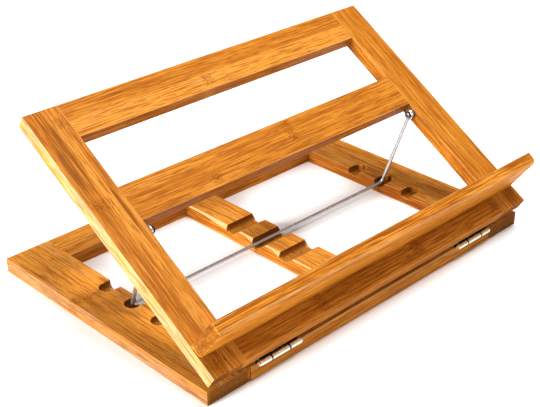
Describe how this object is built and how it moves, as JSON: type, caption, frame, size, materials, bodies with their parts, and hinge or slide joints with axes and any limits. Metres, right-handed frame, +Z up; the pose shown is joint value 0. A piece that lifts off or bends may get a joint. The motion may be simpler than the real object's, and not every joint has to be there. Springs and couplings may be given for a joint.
{
  "type": "photo album stand",
  "caption": "Folding bamboo stand for an open album: a slatted panel with a front ledge, hinged to a flat base and propped by a wire bail in notches.",
  "frame": {"origin": "on the table, under the middle of the base's centre bar", "axes": "+X to the right of a reader in front of the stand, along its width; +Y to the rear; +Z up"},
  "size_m": [0.34, 0.2436, 0.1439],
  "materials": {
    "bamboo": "satin carbonised bamboo, laminated in narrow strips",
    "ledge_bamboo": "satin carbonised bamboo, darker strips",
    "dowel_wood": "plain turned dowel",
    "steel_wire": "bright plated wire",
    "nickel": "pale nickel plate",
    "zinc_screw": "bright zinc plate"
  },
  "bodies": {
    "base": {"base_left_rail": "bamboo", "base_right_rail": "bamboo", "base_rear_rail": "bamboo", "base_front_rail": "bamboo", "base_centre_bar": "bamboo", "base_dowel_front_left_1": "dowel_wood", "base_dowel_front_left_2": "dowel_wood", "base_dowel_front_right_1": "dowel_wood", "base_dowel_front_right_2": "dowel_wood", "base_dowel_rear_left_1": "dowel_wood", "base_dowel_rear_left_2": "dowel_wood", "base_dowel_rear_right_1": "dowel_wood", "base_dowel_rear_right_2": "dowel_wood", "base_dowel_centre_front_1": "dowel_wood", "base_dowel_centre_front_2": "dowel_wood", "base_dowel_centre_rear_1": "dowel_wood", "base_dowel_centre_rear_2": "dowel_wood", "hinge_left_base_leaf": "nickel", "hinge_right_base_leaf": "nickel", "hinge_left_pin": "nickel", "hinge_right_pin": "nickel", "hinge_left_base_screw_1": "zinc_screw", "hinge_left_base_screw_2": "zinc_screw", "hinge_right_base_screw_1": "zinc_screw", "hinge_right_base_screw_2": "zinc_screw"},
    "panel": {"panel_left_rail": "bamboo", "panel_right_rail": "bamboo", "panel_top_rail": "bamboo", "panel_middle_rail": "bamboo", "panel_bottom_rail": "bamboo", "panel_dowel_bottom_left_1": "dowel_wood", "panel_dowel_bottom_left_2": "dowel_wood", "panel_dowel_bottom_right_1": "dowel_wood", "panel_dowel_bottom_right_2": "dowel_wood", "panel_dowel_middle_left_1": "dowel_wood", "panel_dowel_middle_left_2": "dowel_wood", "panel_dowel_middle_right_1": "dowel_wood", "panel_dowel_middle_right_2": "dowel_wood", "panel_dowel_top_left_1": "dowel_wood", "panel_dowel_top_left_2": "dowel_wood", "panel_dowel_top_right_1": "dowel_wood", "panel_dowel_top_right_2": "dowel_wood", "page_ledge": "ledge_bamboo", "ledge_screw_1": "zinc_screw", "ledge_screw_2": "zinc_screw", "ledge_screw_3": "zinc_screw", "hinge_left_panel_leaf": "nickel", "hinge_right_panel_leaf": "nickel", "hinge_left_panel_screw_1": "zinc_screw", "hinge_left_panel_screw_2": "zinc_screw", "hinge_right_panel_screw_1": "zinc_screw", "hinge_right_panel_screw_2": "zinc_screw", "bail_washer_left": "zinc_screw", "bail_washer_right": "zinc_screw", "bail_screw_left": "zinc_screw", "bail_screw_right": "zinc_screw"},
    "bail": {"support_bail": "steel_wire"}
  },
  "joints": [
    {"name": "panel_tilt", "type": "hinge", "parent": "base", "child": "panel", "pos_m": [0, -0.1187, 0.0125], "axis": [1, 0, 0], "range_deg": [0, 58.2]},
    {"name": "bail_swing", "type": "hinge", "parent": "panel", "child": "bail", "pos_m": [0, -0.0238, 0.07958], "axis": [1, 0, 0], "range_deg": [-78, 0]}
  ],
  "couplings": [
    {"joint": "bail_swing", "follows": "panel_tilt", "ratio": -1.3347}
  ]
}
